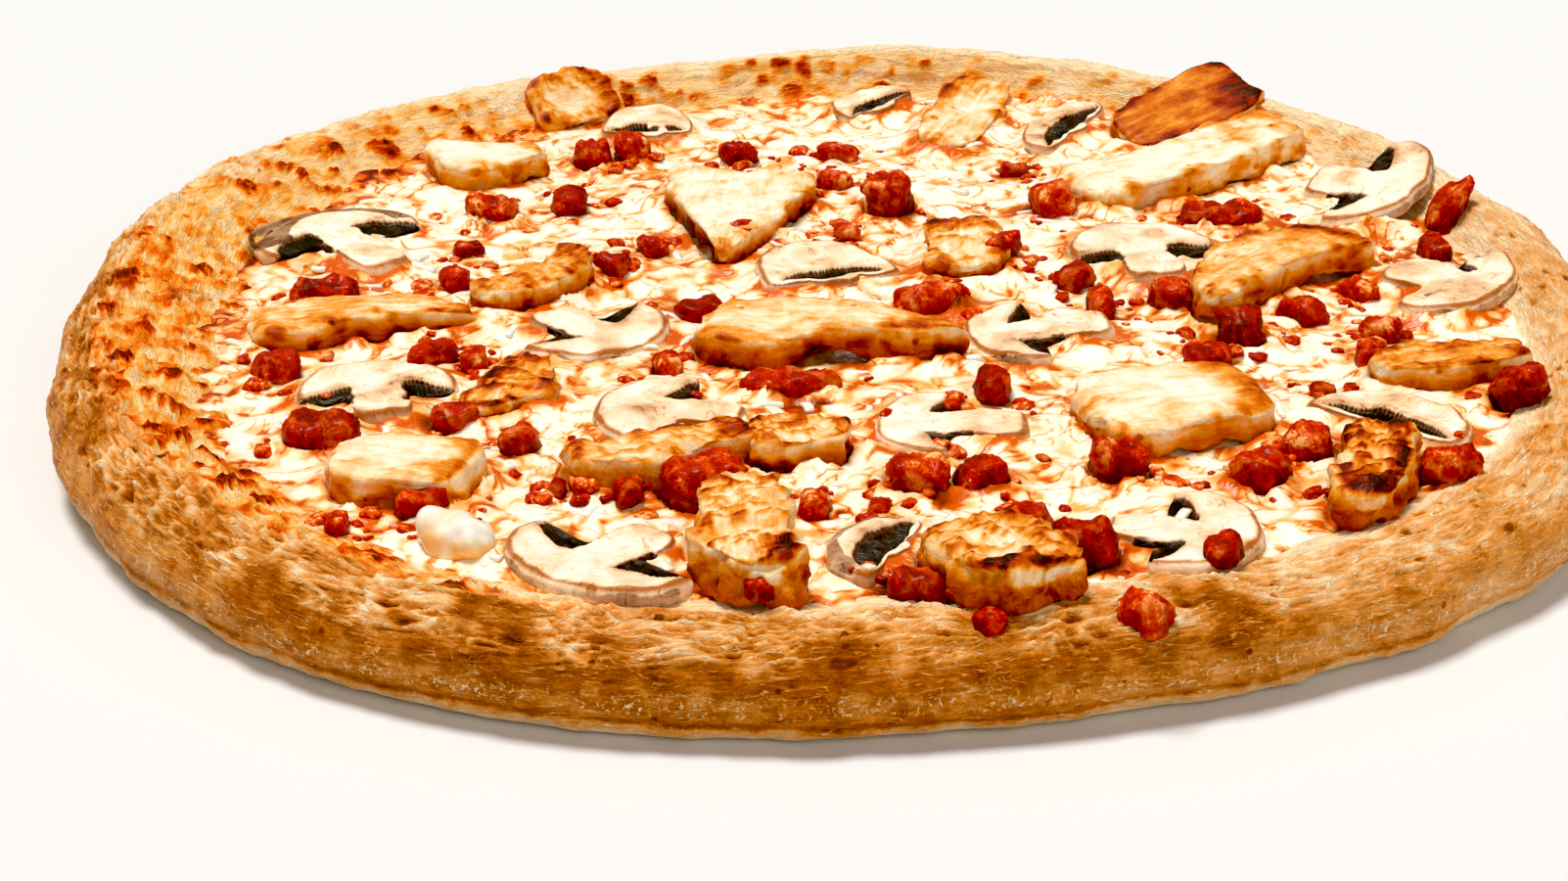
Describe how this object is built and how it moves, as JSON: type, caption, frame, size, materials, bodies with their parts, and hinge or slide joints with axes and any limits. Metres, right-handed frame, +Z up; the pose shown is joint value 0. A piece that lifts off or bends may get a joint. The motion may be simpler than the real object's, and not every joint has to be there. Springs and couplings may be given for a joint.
{
  "type": "chicken ranch pizza",
  "caption": "Whole round pizza with a thick hand-stretched golden rim, melted cheese, sliced chicken, mushroom slices and bacon.",
  "frame": {"origin": "centre of the pizza's footprint, on the flat underside it rests on", "axes": "+Z up through the toppings; -Y towards the viewer of the picture; +X to the viewer's right"},
  "size_m": [0.3442, 0.349, 0.0316],
  "materials": {
    "crust": "baked, satin",
    "cheese": "melted, glossy",
    "chicken": "roasted, satin",
    "mushroom": "baked, satin",
    "bacon": "fried, glossy",
    "cheese_lump": "melted, glossy"
  },
  "bodies": {
    "root": {"crust": "crust", "cheese": "cheese", "chicken_centre": "chicken", "chicken_block_right": "chicken", "chicken_triangle": "chicken", "chicken_long_back": "chicken", "chicken_slab_back": "chicken", "chicken_strip_left": "chicken", "chicken_curl_left": "chicken", "chicken_wedge_left": "chicken", "chicken_golden_left": "chicken", "chicken_strip_front": "chicken", "chicken_chunk_front": "chicken", "chicken_fold_front": "chicken", "chicken_fold_right": "chicken", "chicken_bent_right": "chicken", "chicken_crisp_right": "chicken", "chicken_strip_right": "chicken", "chicken_slab_left": "chicken", "chicken_slice_back": "chicken", "chicken_round_middle": "chicken", "chicken_tan_back": "chicken", "mushroom_left_large": "mushroom", "mushroom_left_front": "mushroom", "mushroom_middle_left": "mushroom", "mushroom_middle_front": "mushroom", "mushroom_front": "mushroom", "mushroom_centre_front": "mushroom", "mushroom_centre_right": "mushroom", "mushroom_centre": "mushroom", "mushroom_right_middle": "mushroom", "mushroom_right_back": "mushroom", "mushroom_right": "mushroom", "mushroom_right_curved": "mushroom", "mushroom_front_right": "mushroom", "mushroom_front_grey": "mushroom", "mushroom_back_long": "mushroom", "mushroom_back_left": "mushroom", "mushroom_back": "mushroom", "bacon_01": "bacon", "bacon_02": "bacon", "bacon_03": "bacon", "bacon_04": "bacon", "bacon_05": "bacon", "bacon_06": "bacon", "bacon_07": "bacon", "bacon_08": "bacon", "bacon_09": "bacon", "bacon_10": "bacon", "bacon_11": "bacon", "bacon_12": "bacon", "bacon_13": "bacon", "bacon_14": "bacon", "bacon_15": "bacon", "bacon_16": "bacon", "bacon_17": "bacon", "bacon_18": "bacon", "bacon_19": "bacon", "bacon_20": "bacon", "cheese_lump": "cheese_lump"}
  },
  "joints": []
}
